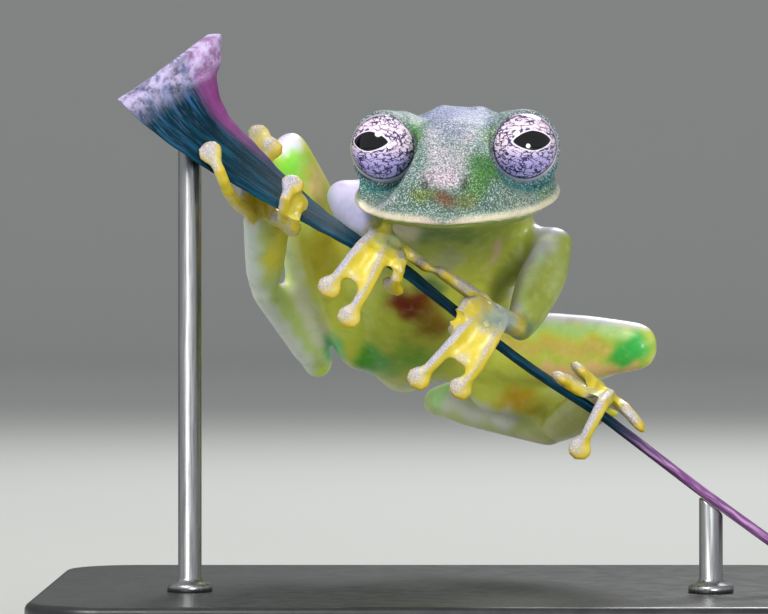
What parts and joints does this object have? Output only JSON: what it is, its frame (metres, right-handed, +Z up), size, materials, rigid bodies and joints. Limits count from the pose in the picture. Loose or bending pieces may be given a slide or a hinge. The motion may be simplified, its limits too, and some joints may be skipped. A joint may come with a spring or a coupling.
{
  "type": "glass frog model",
  "caption": "Life-size glass frog gripping a narrow twisted leaf blade, on a flat display base with upright rods.",
  "frame": {"origin": "centre of the display base's underside, on the surface the model stands on", "axes": "+Z up, the frog faces -Y, its own left side is towards +X"},
  "size_m": [0.042, 0.032, 0.0304],
  "materials": {
    "frog_skin": "smooth moist skin, yellow-green below and pale lavender grey above, with bright green flecks",
    "frog_eye": "polished, pale lavender iris with a dark purple network and a black pupil",
    "leaf_blade": null,
    "stand_rod": "satin",
    "stand_plate": "satin black"
  },
  "bodies": {
    "root": {"head": "frog_skin", "lower_jaw": "frog_skin", "eye_left": "frog_eye", "eye_right": "frog_eye", "torso": "frog_skin", "upper_arm_left": "frog_skin", "forearm_left": "frog_skin", "hand_left": "frog_skin", "thigh_left": "frog_skin", "shank_left": "frog_skin", "tarsus_left": "frog_skin", "foot_left": "frog_skin", "upper_arm_right": "frog_skin", "forearm_right": "frog_skin", "hand_right": "frog_skin", "thigh_right": "frog_skin", "shank_right": "frog_skin", "tarsus_right": "frog_skin", "foot_right": "frog_skin", "leaf_perch": "leaf_blade", "stand_rod_tall": "stand_rod", "stand_rod_short": "stand_rod", "stand_base": "stand_plate"}
  },
  "joints": []
}
